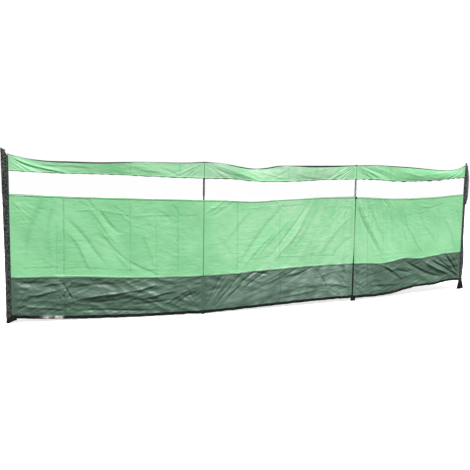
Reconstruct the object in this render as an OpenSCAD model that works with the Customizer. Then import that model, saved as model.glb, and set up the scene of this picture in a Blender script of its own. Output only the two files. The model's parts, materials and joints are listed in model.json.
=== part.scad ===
// Beach windbreak of three bays: four steel poles stand in the ground and carry
// a sewn sheet. From the top the sheet is a narrow light green band, a clear
// window, a tall light green panel and a dark green skirt with a black hem.
// Frame: the origin is the centre of the first pole's foot at ground level,
// +X runs towards the last pole, +Z is up, and the front of the sheet faces -Y.

/* [Layout] */

// Distance between the axes of neighbouring poles
bay_w = 1500; // [900:10:2000]
// Heading of the first bay from the X axis, in degrees
bay_1_heading = -7; // [-12:0.5:0]
// Heading of the middle bay from the X axis, in degrees
bay_2_heading = 1.5; // [-3:0.5:3]

/* [Sheet] */

// Height of the sheet at a pole, from the hem to the top edge
sheet_h = 1250; // [1000:10:1600]
// Height of the top band at a pole, without its binding
top_band_h = 130; // [80:1:200]
// Height of the clear window
window_h = 175; // [100:1:260]
// Height of the dark skirt, without its hem
skirt_h = 292; // [150:1:400]
// Height of the black hem tape
hem_h = 15; // [8:1:30]
// Height of the dark binding along the top edge
binding_h = 5; // [3:1:12]
// Thickness the cloth is drawn with
cloth_t = 3; // [2:0.5:5]
// How far the top edge hangs below its ends in the middle of a bay
top_sag = 55; // [20:1:75]
// How far the seams between the strips hang below their ends
seam_sag = 15; // [0:1:30]
// Where the top edge of the first bay hangs lowest, as a part of the bay
low_point_1 = 0.25; // [0.15:0.01:0.85]
// Where the top edge of the middle bay hangs lowest
low_point_2 = 0.36; // [0.15:0.01:0.85]
// Where the top edge of the last bay hangs lowest
low_point_3 = 0.82; // [0.15:0.01:0.85]

/* [Poles] */

// Outer diameter of a pole
pole_d = 16; // [12:0.5:25]
// Wall of the steel tube
pole_wall = 1; // [0.6:0.1:2]
// Height of the solid plastic foot above the ground
foot_h = 60; // [30:1:120]
// How far the foot and the cap reach into the tube
plug_len = 25; // [10:1:60]
// Height of the cap above the end of the tube
cap_h = 9; // [5:1:20]
// How far the end poles stand above the top edge
end_pole_over = 15; // [2:1:60]

/* [Sleeves] */

// Width of the black end sleeve, over the pole and its flap
end_sleeve_w = 50; // [36:1:90]
// Thickness of the sleeve cloth
sleeve_t = 2; // [1:0.5:4]
// Width of the sewn flange on each side of a middle pole
flange_w = 12; // [6:1:30]

/* [Ground] */

// Height of the hem above the ground at the first pole
hem_lift_1 = 41; // [8:1:150]
// Height of the hem above the ground at the second pole
hem_lift_2 = 8; // [8:1:150]
// Height of the hem above the ground at the third pole
hem_lift_3 = 33; // [8:1:150]
// Height of the hem above the ground at the last pole
hem_lift_4 = 90; // [8:1:150]
// Width of a foot tab where it leaves the hem
tab_top_w = 36; // [24:1:60]
// Width of a foot tab at the ground
tab_bottom_w = 58; // [30:1:90]

/* [Clearance] */

// Gap between cloth pieces that are sewn to each other
seam_gap = 0.3; // [0.1:0.1:0.6]
// Gap between a pole and the cloth around it
pole_clear = 0.3; // [0.1:0.1:0.8]
// Gap between a plug and the inside of the tube
plug_clear = 0.1; // [0.05:0.05:0.3]

/* [Hidden] */

$fn = 64;
light_green = "#8FDB9D";
dark_green = "#4C6B58";
black = "#1B1F1D";
charcoal = "#343C38";
clear_film = [0.95, 0.98, 0.97, 0.35];
steel = "#8E9290";

pole_r = pole_d / 2;
// Inner face of the cloth around a pole, from the pole's axis
inner_r = pole_r + pole_clear;
outer_r = inner_r + sleeve_t;
// The flanges of a middle sleeve lie this far in front of the pole's axis
sewn_face = inner_r - seam_gap;
// Inboard edge of an end sleeve, from the pole's axis
end_sleeve_in = end_sleeve_w - outer_r;
// Foot tabs stop this far above the ground
tab_ground_gap = 2;
// The halves of a middle tab reach this far past the pole's axis
tab_overlap = 1;
// Points along each edge of a strip
edge_steps = 24;

// The last bay is turned so that the last pole stands on the X axis
bay_3_heading = asin(-sin(bay_1_heading) - sin(bay_2_heading));
headings = [bay_1_heading, bay_2_heading, bay_3_heading];
lifts = [hem_lift_1, hem_lift_2, hem_lift_3, hem_lift_4];
low_points = [low_point_1, low_point_2, low_point_3];
pole_count = 4;
bay_count = pole_count - 1;

// Seams of the sheet, counted from the hem up
HEM = 0;
SKIRT_FOOT = 1;
SKIRT_TOP = 2;
WINDOW_FOOT = 3;
WINDOW_TOP = 4;
BAND_TOP = 5;
SHEET_TOP = 6;
window_foot_h = sheet_h - binding_h - top_band_h - window_h;
seam_heights = [
    0,
    hem_h,
    hem_h + skirt_h,
    window_foot_h,
    window_foot_h + window_h,
    sheet_h - binding_h,
    sheet_h
];
seam_sags = [0, 0, seam_sag, seam_sag, seam_sag, top_sag, top_sag];

// Place of a pole in plan, stepping along the bays before it
function pole_at(i) = i == 1 ? [0, 0]
    : pole_at(i - 1) + bay_w * [cos(headings[i - 2]), sin(headings[i - 2])];

// The tube of a pole ends here: the end poles stand proud of the sheet
function pole_over(i) = (i == 1 || i == pole_count) ? end_pole_over : 0;
function tube_top(i) = lifts[i - 1] + sheet_h + pole_over(i) - cap_h;

// Bends the way along a bay so that its middle falls on the lowest point
function bent_way(t, low) = low < 0.5
    ? pow(t, ln(0.5) / ln(low))
    : 1 - pow(1 - t, ln(0.5) / ln(1 - low));
function sag_share(b, seam, t) =
    let (u = seam >= BAND_TOP ? bent_way(t, low_points[b - 1]) : t)
    4 * u * (1 - u);

// Height of a seam at a distance x along bay b
function seam_z(b, seam, x) =
    let (t = x / bay_w)
    lifts[b - 1] * (1 - t) + lifts[b] * t + seam_heights[seam]
        - seam_sags[seam] * sag_share(b, seam, t);

// The cloth of a bay starts and ends beside a sleeve or at a pole's axis
function cloth_start(b) = b == 1 ? end_sleeve_in + seam_gap : seam_gap;
function cloth_end(b) = bay_w - (b == bay_count ? end_sleeve_in + seam_gap : seam_gap);
function cloth_x(b, k) =
    cloth_start(b) + (cloth_end(b) - cloth_start(b)) * k / edge_steps;

// Puts a child drawn along +X from a pole into the line of bay b
module in_bay(b) {
    at = pole_at(b);
    translate([at[0], at[1], 0]) rotate([0, 0, headings[b - 1]]) children();
}

module at_pole(i) {
    at = pole_at(i);
    translate([at[0], at[1], 0]) children();
}

// Stands an outline of the cloth upright, in front of the poles
module cloth_slab() {
    translate([0, -inner_r, 0]) rotate([90, 0, 0])
        linear_extrude(height = cloth_t) children();
}

// One strip of cloth between two seams of bay b
module strip(b, lower, upper) {
    foot_gap = lower == HEM ? 0 : seam_gap;
    upper_edge = [for (k = [0 : edge_steps])
        [cloth_x(b, k), seam_z(b, upper, cloth_x(b, k))]];
    lower_edge = [for (k = [edge_steps : -1 : 0])
        [cloth_x(b, k), seam_z(b, lower, cloth_x(b, k)) + foot_gap]];
    in_bay(b) cloth_slab() polygon(concat(upper_edge, lower_edge));
}

module pole(i) {
    color(steel) at_pole(i) difference() {
        translate([0, 0, foot_h]) cylinder(h = tube_top(i) - foot_h, r = pole_r);
        translate([0, 0, foot_h - 1])
            cylinder(h = tube_top(i) - foot_h + 2, r = pole_r - pole_wall);
    }
}

// Solid foot as wide as the tube, with a plug that holds it in the tube
module pole_foot(i) {
    color(black) at_pole(i) {
        cylinder(h = foot_h, r = pole_r);
        cylinder(h = foot_h + plug_len, r = pole_r - pole_wall - plug_clear);
    }
}

// Rounded cap as wide as the tube, with a plug that holds it in the tube
module pole_cap(i) {
    crown_r = pole_r / 2;
    color(black) at_pole(i) translate([0, 0, tube_top(i)]) {
        cylinder(h = cap_h - crown_r, r = pole_r);
        rotate_extrude() intersection() {
            union() {
                translate([pole_r - crown_r, cap_h - crown_r]) circle(r = crown_r);
                square([pole_r - crown_r, cap_h]);
            }
            translate([0, cap_h - crown_r]) square([pole_r, crown_r]);
        }
        translate([0, 0, -plug_len])
            cylinder(h = plug_len + 1, r = pole_r - pole_wall - plug_clear);
    }
}

module top_binding(b) { color(charcoal) strip(b, BAND_TOP, SHEET_TOP); }
module top_band(b) { color(light_green) strip(b, WINDOW_TOP, BAND_TOP); }
module window(b) { color(clear_film) strip(b, WINDOW_FOOT, WINDOW_TOP); }
module main_panel(b) { color(light_green) strip(b, SKIRT_TOP, WINDOW_FOOT); }
module skirt(b) { color(dark_green) strip(b, SKIRT_FOOT, SKIRT_TOP); }
module hem(b) { color(black) strip(b, HEM, SKIRT_FOOT); }

// Sleeve round an end pole with a flap in the plane of the cloth;
// side is 1 where the flap runs along +X and -1 where it runs along -X
module end_sleeve(i, side) {
    bay = side > 0 ? i : i - 1;
    at = pole_at(i);
    color(charcoal) translate([at[0], at[1], lifts[i - 1]])
        rotate([0, 0, headings[bay - 1]])
        linear_extrude(height = sheet_h) difference() {
            union() {
                circle(r = outer_r);
                translate([side > 0 ? 0 : -end_sleeve_in, -inner_r - cloth_t])
                    square([end_sleeve_in, cloth_t]);
            }
            circle(r = inner_r);
        }
}

// Everything in front of the sewn face behind the cloth, on both sides of
// pole i, and the strip of the channel's mouth between the two flanges
module channel_mouth(i) {
    reach = 4 * outer_r;
    for (h = [headings[i - 2], headings[i - 1]])
        rotate(h) translate([-reach, -sewn_face - reach]) square([2 * reach, reach]);
    translate([-pole_r / 2, -reach]) square([pole_r, reach]);
}

// Channel behind the cloth round middle pole i, sewn on by two flanges
module mid_sleeve(i, lower, upper) {
    foot = lifts[i - 1] + seam_heights[lower] + (lower == HEM ? 0 : seam_gap);
    head = lifts[i - 1] + seam_heights[upper];
    flange_out = outer_r + flange_w;
    at_pole(i) translate([0, 0, foot])
        linear_extrude(height = head - foot) difference() {
            union() {
                circle(r = outer_r);
                rotate(headings[i - 2]) translate([-flange_out, -sewn_face])
                    square([flange_out - pole_r / 2, sleeve_t]);
                rotate(headings[i - 1]) translate([pole_r / 2, -sewn_face])
                    square([flange_out - pole_r / 2, sleeve_t]);
            }
            circle(r = inner_r);
            channel_mouth(i);
        }
}

module band_sleeve(i) { color(light_green) mid_sleeve(i, WINDOW_TOP, SHEET_TOP); }
module panel_sleeve(i) { color(light_green) mid_sleeve(i, SKIRT_TOP, WINDOW_FOOT); }
module skirt_sleeve(i) { color(dark_green) mid_sleeve(i, HEM, SKIRT_TOP); }

// Half of a foot tab, hanging from the hem of bay b at x and reaching
// along the bay by way, which is 1 or -1
module tab_half(b, x, way) {
    top_x = x + way * tab_top_w / 2;
    bottom_x = x + way * tab_bottom_w / 2;
    back_x = x - way * tab_overlap;
    in_bay(b) cloth_slab() polygon([
        [back_x, seam_z(b, HEM, x) - seam_gap],
        [top_x, seam_z(b, HEM, top_x) - seam_gap],
        [bottom_x, tab_ground_gap],
        [back_x, tab_ground_gap]
    ]);
}

// Tab of an end pole: one straight piece under the middle of the sleeve
module end_tab(i, b, x) {
    top_z = lifts[i - 1] - seam_gap;
    in_bay(b) cloth_slab() polygon([
        [x - tab_top_w / 2, top_z],
        [x + tab_top_w / 2, top_z],
        [x + tab_bottom_w / 2, tab_ground_gap],
        [x - tab_bottom_w / 2, tab_ground_gap]
    ]);
}

module foot_tab(i) {
    sleeve_mid = (end_sleeve_in - outer_r) / 2;
    color(black) {
        if (i == 1) end_tab(i, 1, sleeve_mid);
        else if (i == pole_count) end_tab(i, bay_count, bay_w - sleeve_mid);
        else {
            tab_half(i - 1, bay_w, -1);
            tab_half(i, 0, 1);
        }
    }
}

for (i = [1 : pole_count]) {
    pole(i);
    pole_foot(i);
    pole_cap(i);
    foot_tab(i);
}
for (b = [1 : bay_count]) {
    top_binding(b);
    top_band(b);
    window(b);
    main_panel(b);
    skirt(b);
    hem(b);
}
for (i = [2 : pole_count - 1]) {
    band_sleeve(i);
    panel_sleeve(i);
    skirt_sleeve(i);
}
end_sleeve(1, 1);  // end_sleeve_left
end_sleeve(pole_count, -1);  // end_sleeve_right
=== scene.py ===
import json
import math

import bmesh
import bpy
import numpy as np
from mathutils import Matrix, Vector


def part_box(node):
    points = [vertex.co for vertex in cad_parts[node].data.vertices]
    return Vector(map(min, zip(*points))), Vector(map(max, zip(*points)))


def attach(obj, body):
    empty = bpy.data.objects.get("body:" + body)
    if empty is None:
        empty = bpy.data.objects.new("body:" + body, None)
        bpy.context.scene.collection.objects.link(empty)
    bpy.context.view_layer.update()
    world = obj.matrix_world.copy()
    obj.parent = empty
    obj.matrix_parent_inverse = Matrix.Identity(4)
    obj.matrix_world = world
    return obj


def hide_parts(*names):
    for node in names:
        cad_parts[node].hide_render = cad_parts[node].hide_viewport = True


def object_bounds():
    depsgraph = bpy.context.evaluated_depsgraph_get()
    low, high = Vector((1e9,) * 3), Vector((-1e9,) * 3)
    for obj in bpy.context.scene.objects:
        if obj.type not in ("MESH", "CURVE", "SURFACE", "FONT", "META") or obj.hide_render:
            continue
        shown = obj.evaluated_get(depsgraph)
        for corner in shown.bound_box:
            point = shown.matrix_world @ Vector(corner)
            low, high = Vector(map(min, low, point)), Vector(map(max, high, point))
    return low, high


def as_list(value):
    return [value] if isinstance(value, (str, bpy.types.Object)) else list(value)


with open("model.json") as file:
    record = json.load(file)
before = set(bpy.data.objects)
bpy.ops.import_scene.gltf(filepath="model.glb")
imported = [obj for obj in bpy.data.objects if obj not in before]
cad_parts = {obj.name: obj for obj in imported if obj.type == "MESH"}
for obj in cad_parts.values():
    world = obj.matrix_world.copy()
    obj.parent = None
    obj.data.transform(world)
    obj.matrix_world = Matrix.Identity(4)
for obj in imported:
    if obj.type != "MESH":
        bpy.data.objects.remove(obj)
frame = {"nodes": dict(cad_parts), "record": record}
CAD_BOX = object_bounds()

# ---------------------------------------------------------------- sizes
MM = 0.001
POLES = [Vector(mount["pos_m"]) for mount in frame["record"]["mounts"]]
BAY_COUNT = len(POLES) - 1
BAY_W = (POLES[1] - POLES[0]).length
BINDING_H = 5 * MM          # dark tape folded over the top edge
HEM_H = 15 * MM             # foot of the dark skirt above the sheet's lower edge
HEM_TAPE_H = 24 * MM        # black tape, which laps over the skirt's foot
CLOTH_T = 0.6 * MM          # woven sheet, drawn twice as thick as it is
FILM_T = 0.5 * MM
WEAVE_STEP = 5.5 * MM       # spacing of the mesh across the cloth
EDGE_STEP = 5 * MM          # and across the tapes, turnings and rolled edges
FILM_STEP = 12 * MM         # and across the film, which is smoother


def low(node):
    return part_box(node)[0]


def high(node):
    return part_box(node)[1]


# Height of the hem above the ground at each pole
LIFTS = [low("end_sleeve_left").z, low("skirt_sleeve_2").z, low("skirt_sleeve_3").z,
         low("end_sleeve_right").z]
SHEET_H = high("band_sleeve_2").z - LIFTS[1]
SKIRT_TOP = high("skirt_sleeve_2").z - LIFTS[1]
WINDOW_FOOT = high("panel_sleeve_2").z - LIFTS[1]
WINDOW_TOP = low("band_sleeve_2").z - LIFTS[1]
BAND_TOP = SHEET_H - BINDING_H
POLE_R = (high("pole_2").x - low("pole_2").x) / 2
# The cloth runs this far in front of the poles' axes
CLOTH_FRONT = POLE_R + 1.8 * MM
# Inboard edge of an end sleeve, from its pole's axis
SLEEVE_IN = high("end_sleeve_left").x - POLES[0].x
TUCK = 16 * MM              # the cloth reaches this far into an end sleeve
SLEEVE_T = 0.8 * MM
LAP = 11 * MM               # width of the turnings along the seams
PIPING = 3 * MM             # dark rolled edge beside the window
PIPING_T = 1.6 * MM
PIPING_SHOWS = [1, 1, 2.2]  # how much more of it hangs out under each bay's band
STITCH_PITCH = 8 * MM
STITCH_LENGTH = 5.5 * MM
THREAD_D = 0.8 * MM
THREAD_LIFT = 0.35          # millimetres that a stitch stands proud of its cloth
ROW_NEAR = 3 * MM           # two rows of stitches hold each turning
ROW_FAR = 8 * MM
ROW_ALONE = 4 * MM          # a single row's way from its edge
TURNING_PROUD = 0.8 * MM    # a turning lies on the cloth's front by this much
FILM_BEHIND = 0.8 * MM
BINDING_PROUD = 1 * MM
BINDING_T = 2.0 * MM
HEM_PROUD = 1.2 * MM
HEM_TAPE_T = 1.3 * MM
HEM_WAVE = 4.5 * MM         # how far the hem waves up and down between the poles
HEM_WAVES = 17              # and how often, to a metre
HELD_AT_END = 0.06          # the sheet hangs freely this far from an end sleeve
HELD_AT_MIDDLE = 0.035      # and this far from a middle pole, in metres
HELD_FLAT = 0.006           # and is held flat this near to either
FLAP_START = 0.016          # an end sleeve's flap runs inboard from here
FLAP_SEAM = 0.022           # and its two layers are sewn together here
TAB_GAP = 2 * MM            # the tabs stop this far above the ground
# Nothing stands further forward than this, a little in front of the plain model
FRONT_MOST = CAD_BOX[0].y - 0.03 * (CAD_BOX[1].y - CAD_BOX[0].y) - 8 * MM

# ---------------------------------------------------------------- how the seams hang
# Each curve says how far a seam hangs below the straight line between its ends,
# as (metres along the bay, millimetres down).
TOP_DROP = [
    [(0, 2), (0.04, 20), (0.1, 33), (0.2, 48), (0.3, 54), (0.45, 51), (0.66, 47),
     (0.83, 37), (1.0, 26), (1.2, 20), (1.4, 11), (1.5, 1)],
    [(0, 1), (0.17, 13), (0.33, 37), (0.46, 49), (0.56, 42), (0.66, 25), (0.85, 18),
     (1.05, 15), (1.3, 10), (1.5, 5)],
    [(0, 5), (0.25, 3), (0.42, 11), (0.73, 28), (0.94, 44), (1.15, 57), (1.3, 56),
     (1.4, 38), (1.46, 14), (1.5, 6)],
]
WINDOW_TOP_DROP = [
    [(0, 4), (0.3, 8), (0.75, 1), (1.2, 2), (1.5, 0)],
    [(0, 0), (0.25, 3), (0.42, 18), (0.9, 18), (1.15, 4), (1.5, -3)],
    [(0, -3), (0.2, 1), (0.44, 20), (0.85, 28), (1.1, 22), (1.35, 5), (1.5, 0)],
]
WINDOW_FOOT_DROP = [
    [(0, 5), (0.4, 9), (1.0, 6), (1.5, 0)],
    [(0, 0), (0.25, 9), (0.42, 18), (0.7, 6), (1.1, -8), (1.5, -14)],
    [(0, -8), (0.15, 0), (0.4, 17), (0.87, 27), (1.1, 24), (1.35, 12), (1.5, 6)],
]
SKIRT_TOP_DROP = [
    [(0, -2), (0.5, -8), (1.0, 3), (1.3, -3), (1.5, -10)],
    [(0, -10), (0.3, -10), (0.6, -20), (1.0, -27), (1.5, -22)],
    [(0, -20), (0.15, -10), (0.33, 9), (0.45, 8), (0.56, -6), (0.66, -14), (0.76, -3),
     (0.9, 6), (1.1, -6), (1.42, -12), (1.5, -8)],
]
HEM_DROP = [
    [(0, 0), (0.1, 6), (0.4, 17), (0.8, 17), (1.1, 12), (1.35, 3), (1.5, 0)],
    [(0, 0), (0.4, -4), (0.8, -8), (1.15, -8), (1.5, 0)],
    [(0, 4), (0.12, 12), (0.33, 22), (0.5, 19), (0.65, 0), (0.85, -13), (1.08, -8),
     (1.24, -20), (1.42, -15), (1.5, 0)],
]
SEAM_HEIGHTS = [0, SKIRT_TOP, WINDOW_FOOT, WINDOW_TOP, SHEET_H]
SEAM_DROPS = [HEM_DROP, SKIRT_TOP_DROP, WINDOW_FOOT_DROP, WINDOW_TOP_DROP, TOP_DROP]

# ---------------------------------------------------------------- how the cloth folds
# The top band is slack: its middle and its top edge lean forward (+) or back (-),
# as (metres along the bay, millimetres).
BAND_BOW = [
    [(0, 0), (0.15, -5), (0.35, 2), (0.7, 3), (1.0, 3), (1.3, 1), (1.5, 0)],
    [(0, 0), (0.25, 5), (0.5, -8), (0.75, -5), (1.0, 4), (1.3, 3), (1.5, 0)],
    [(0, 0), (0.3, -4), (0.6, 5), (1.0, 7), (1.3, 5), (1.5, 0)],
]
BAND_TIP = [
    [(0, 0), (0.12, -12), (0.35, 2), (0.7, 9), (1.0, 3), (1.3, 0), (1.5, 0)],
    [(0, 0), (0.2, 3), (0.45, -30), (0.7, -20), (1.0, 2), (1.3, -2), (1.5, 0)],
    [(0, 0), (0.3, -8), (0.6, -5), (1.0, -10), (1.3, -20), (1.42, -8), (1.5, 0)],
]
# How much of the tape along the top edge shows, in millimetres below the edge
BINDING_SHOWS = [
    [(0, 0), (0.2, 0), (0.3, 6), (0.6, 8), (0.8, 6), (0.9, 1), (1.2, 0), (1.5, 1)],
    [(0, 1), (0.22, 0), (0.3, 5), (0.42, 4), (0.48, 0), (0.56, 5), (0.64, 4), (0.72, 0),
     (0.86, 2), (0.96, 8), (1.3, 7), (1.42, 2), (1.5, 1)],
    [(0, 1), (0.3, 0), (0.7, 3), (1.0, 2), (1.3, 0), (1.5, 1)],
]
# Slow swell of the whole sheet in the wind, in millimetres at the bay's middle
SWELL = [-9, 7, -12]
# How far the light panel leans back from its foot to its top, in millimetres
PANEL_LEAN = [-4, 26, 16]

# Folds: from, to, as (metres along the bay, metres up the cloth), then half width
# and height in millimetres. A minus height is a hollow.
FOLDS = [
    [   # top band, left
        ((0.05, 1.235), (0.46, 1.105), 9, 5.5), ((0.06, 1.215), (0.40, 1.10), 8, -4),
        ((0.03, 1.21), (0.16, 1.11), 8, 3), ((0.02, 1.18), (0.10, 1.10), 7, -2.5),
        ((0.20, 1.20), (0.62, 1.17), 14, -3), ((0.95, 1.20), (1.16, 1.14), 14, 3),
        ((1.16, 1.20), (1.30, 1.12), 9, -2.5), ((1.28, 1.12), (1.47, 1.24), 9, 3),
        ((1.40, 1.11), (1.50, 1.21), 7, -1.5),
        # light panel
        ((0.24, 0.92), (0.12, 0.42), 34, -6), ((0.33, 0.93), (0.30, 0.45), 36, 4.5),
        ((0.56, 0.94), (0.66, 0.84), 11, -3), ((0.66, 0.84), (0.82, 0.67), 15, -5),
        ((0.58, 0.86), (0.84, 0.55), 22, 3), ((0.70, 0.63), (0.88, 0.44), 12, -4),
        ((0.64, 0.72), (0.92, 0.36), 22, 2.5), ((0.88, 0.45), (1.12, 0.32), 12, -4),
        ((0.42, 0.78), (0.72, 0.42), 20, -4.5), ((0.44, 0.66), (0.62, 0.36), 24, 4),
        ((0.82, 0.84), (0.91, 0.74), 9, 2), ((1.12, 0.86), (1.24, 0.76), 16, -2),
        ((1.02, 0.70), (1.10, 0.35), 26, 2), ((1.24, 0.90), (1.31, 0.80), 9, -2),
        ((0.05, 0.90), (0.10, 0.83), 8, 2.5), ((0.03, 0.86), (0.07, 0.80), 6, -2),
        # dark skirt
        ((0.16, 0.17), (0.40, 0.21), 10, 10), ((0.05, 0.28), (0.30, 0.25), 14, -8),
        ((0.22, 0.24), (0.40, 0.26), 8, 8), ((0.44, 0.22), (0.86, 0.27), 13, -8),
        ((0.52, 0.14), (0.92, 0.205), 9, 12.5), ((0.62, 0.11), (0.90, 0.155), 8, -8),
        ((0.90, 0.20), (1.12, 0.24), 10, 11), ((0.93, 0.105), (1.30, 0.12), 10, -8),
        ((0.96, 0.145), (1.28, 0.185), 13, 11), ((1.16, 0.08), (1.44, 0.22), 12, 9),
        ((1.24, 0.06), (1.46, 0.20), 11, -7), ((0.30, 0.12), (1.20, 0.17), 46, 12),
        ((0.10, 0.10), (0.44, 0.06), 12, 8), ((0.46, 0.06), (1.12, 0.05), 9, -10),
        ((0.38, 0.28), (0.47, 0.14), 7, -11),
        ((0.47, 0.27), (0.39, 0.17), 7, 8), ((0.05, 0.05), (0.20, 0.17), 12, -7),
    ],
    [   # top band
        ((0.06, 1.245), (0.50, 1.115), 12, 5), ((0.02, 1.22), (0.40, 1.115), 10, -4),
        ((0.36, 1.21), (0.52, 1.13), 9, -2.5), ((0.50, 1.20), (0.72, 1.15), 12, 3),
        ((0.62, 1.14), (0.80, 1.225), 9, -3), ((0.86, 1.18), (1.12, 1.12), 13, 3),
        ((1.16, 1.11), (1.36, 1.235), 8, -3), ((1.22, 1.11), (1.41, 1.24), 7, 3),
        ((1.28, 1.11), (1.45, 1.235), 7, -2.5), ((1.05, 1.20), (1.30, 1.235), 9, 1.5),
        # light panel
        ((0.01, 0.83), (0.20, 0.94), 10, 3), ((0.05, 0.80), (0.28, 0.93), 12, -3),
        ((0.30, 0.38), (0.74, 0.90), 26, -5), ((0.36, 0.36), (0.66, 0.66), 17, 3.5),
        ((0.46, 0.40), (0.82, 0.78), 14, 2.5), ((0.62, 0.42), (1.00, 0.90), 11, -5),
        ((0.68, 0.40), (0.96, 0.72), 12, 4), ((0.76, 0.44), (1.06, 0.93), 13, 3),
        ((0.86, 0.48), (1.12, 0.86), 14, -3), ((1.10, 0.42), (1.46, 0.76), 24, 3),
        ((1.22, 0.36), (1.48, 0.58), 20, -3), ((0.18, 0.60), (0.46, 0.88), 22, 2.5),
        ((0.66, 0.93), (0.76, 0.83), 8, 2), ((0.10, 0.70), (0.28, 0.40), 26, -2),
        # dark skirt
        ((0.01, 0.05), (0.17, 0.31), 11, -9), ((0.04, 0.04), (0.25, 0.30), 10, 9),
        ((0.08, 0.04), (0.35, 0.30), 12, -14), ((0.16, 0.07), (0.47, 0.31), 14, -16),
        ((0.20, 0.14), (0.56, 0.32), 9, 8), ((0.34, 0.16), (0.60, 0.31), 10, -12),
        ((0.26, 0.05), (1.22, 0.15), 40, 24), ((0.50, 0.18), (0.78, 0.31), 10, 9),
        ((0.62, 0.19), (0.90, 0.31), 11, -11), ((0.26, 0.05), (0.66, 0.17), 15, 11),
        ((0.38, 0.14), (0.98, 0.29), 14, 9), ((0.44, 0.30), (0.62, 0.27), 7, -7),
        ((0.80, 0.22), (1.06, 0.30), 10, -10), ((0.66, 0.05), (1.14, 0.11), 13, 10),
        ((0.74, 0.15), (1.00, 0.13), 9, -8), ((1.10, 0.26), (1.19, 0.12), 9, -8),
        ((1.16, 0.05), (1.19, 0.18), 9, 8), ((1.20, 0.14), (1.46, 0.10), 16, 6),
    ],
    [   # top band
        ((0.02, 1.235), (0.34, 1.115), 11, 3.5), ((0.08, 1.24), (0.44, 1.13), 9, -3.5),
        ((0.18, 1.24), (0.50, 1.15), 10, 3), ((0.02, 1.20), (0.20, 1.11), 8, -2.5),
        ((0.56, 1.19), (0.92, 1.16), 15, 3), ((0.60, 1.12), (1.16, 1.125), 13, -3.5),
        ((1.47, 1.235), (1.24, 1.12), 8, -3.5), ((1.49, 1.22), (1.33, 1.12), 9, 3),
        ((0.96, 1.19), (1.26, 1.21), 11, 2.5),
        # light panel
        ((0.01, 0.88), (0.30, 0.42), 14, -5), ((0.03, 0.92), (0.36, 0.38), 20, 5),
        ((0.16, 0.90), (0.40, 0.46), 22, -3), ((0.36, 0.93), (0.46, 0.84), 8, -4),
        ((0.40, 0.94), (0.52, 0.84), 8, 2), ((0.44, 0.84), (0.52, 0.42), 30, -3),
        ((0.62, 0.84), (0.74, 0.58), 20, 3), ((0.72, 0.62), (0.94, 0.34), 17, 3),
        ((0.58, 0.78), (0.70, 0.45), 18, -3), ((0.84, 0.80), (1.10, 0.42), 28, -2),
        ((0.84, 0.86), (1.10, 0.83), 9, 2), ((1.00, 0.84), (1.20, 0.86), 8, -2),
        ((1.20, 0.75), (1.40, 0.36), 28, 2.5), ((1.36, 0.80), (1.47, 0.60), 14, -2),
        # dark skirt
        ((0.32, 0.30), (0.52, 0.21), 7, 11), ((0.50, 0.22), (0.74, 0.16), 7, -8),
        ((0.40, 0.26), (0.64, 0.10), 12, -10), ((0.66, 0.27), (1.20, 0.06), 16, -18),
        ((0.90, 0.28), (1.30, 0.06), 13, 16.5), ((1.02, 0.28), (1.42, 0.05), 8, -11),
        ((1.12, 0.29), (1.45, 0.04), 8, 12.5), ((1.24, 0.30), (1.46, 0.06), 8, -11),
        ((1.34, 0.30), (1.48, 0.07), 7, 8), ((0.22, 0.12), (0.60, 0.07), 14, 7),
    ],
]
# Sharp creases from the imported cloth: from, to, and depth in millimetres
CREASE_W = 5 * MM           # a crease's depth falls away over this width
CREASES = [
    [
        ((0.406, 0.31), (0.410, 0.93), -4.4), ((0.355, 0.32), (0.357, 0.72), -2.0),
        ((0.909, 0.34), (0.905, 0.92), -2.7), ((1.114, 0.02), (1.112, 0.80), -2.5),
        ((1.287, 0.32), (1.285, 0.90), -2.7), ((0.412, 0.02), (0.408, 0.30), -3.1),
        ((0.49, 0.83), (0.67, 0.845), 3.1), ((0.69, 0.84), (0.90, 0.805), 3.7),
        ((0.92, 0.80), (1.20, 0.815), 2.7), ((1.16, 0.80), (1.45, 0.81), -2.2),
        ((0.12, 0.385), (0.37, 0.39), 3.1), ((0.43, 0.372), (0.74, 0.368), -2.7),
        ((0.80, 0.37), (1.16, 0.372), 2.7), ((0.20, 0.84), (0.36, 0.83), -2.0),
        ((0.91, 1.12), (0.908, 1.24), -2.7), ((1.30, 1.12), (1.298, 1.24), -2.4),
        ((0.78, 0.88), (0.90, 0.79), -3.1), ((0.52, 0.90), (0.66, 0.84), -2.5),
    ],
    [
        ((0.299, 0.30), (0.303, 0.93), -3.9), ((0.710, 0.02), (0.708, 0.80), -2.9),
        ((0.05, 0.87), (0.22, 0.885), 3.1), ((0.33, 0.87), (0.62, 0.89), 2.7),
        ((0.70, 0.875), (0.94, 0.88), -3.1), ((1.20, 0.86), (1.46, 0.85), 2.2),
        ((0.42, 0.41), (0.62, 0.43), -2.5), ((0.66, 0.42), (0.98, 0.405), 3.1),
        ((1.00, 0.40), (1.30, 0.39), -2.2), ((0.73, 0.225), (0.92, 0.21), 2.4),
        ((0.78, 1.12), (0.775, 1.24), -2.4), ((1.15, 0.22), (1.19, 0.12), -3.4),
        ((1.08, 0.17), (1.17, 0.20), 2.7), ((0.06, 0.19), (0.02, 0.23), 2.5),
    ],
    [
        ((0.170, 0.02), (0.167, 0.80), -3.1), ((0.223, 0.55), (0.226, 0.90), -3.1),
        ((0.369, 0.40), (0.372, 0.80), -2.4), ((0.408, 0.55), (0.410, 0.86), -2.2),
        ((1.130, 0.32), (1.128, 0.86), -2.0), ((0.02, 0.845), (0.20, 0.85), 2.7),
        ((0.86, 0.835), (1.02, 0.85), 2.4), ((1.04, 0.84), (1.32, 0.825), -2.0),
        ((0.43, 1.11), (0.425, 1.24), -3.4), ((0.30, 0.40), (0.40, 0.34), 2.5),
        ((0.56, 0.24), (0.66, 0.19), 2.7), ((0.33, 0.31), (0.47, 0.24), 3.1),
    ],
]
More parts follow.
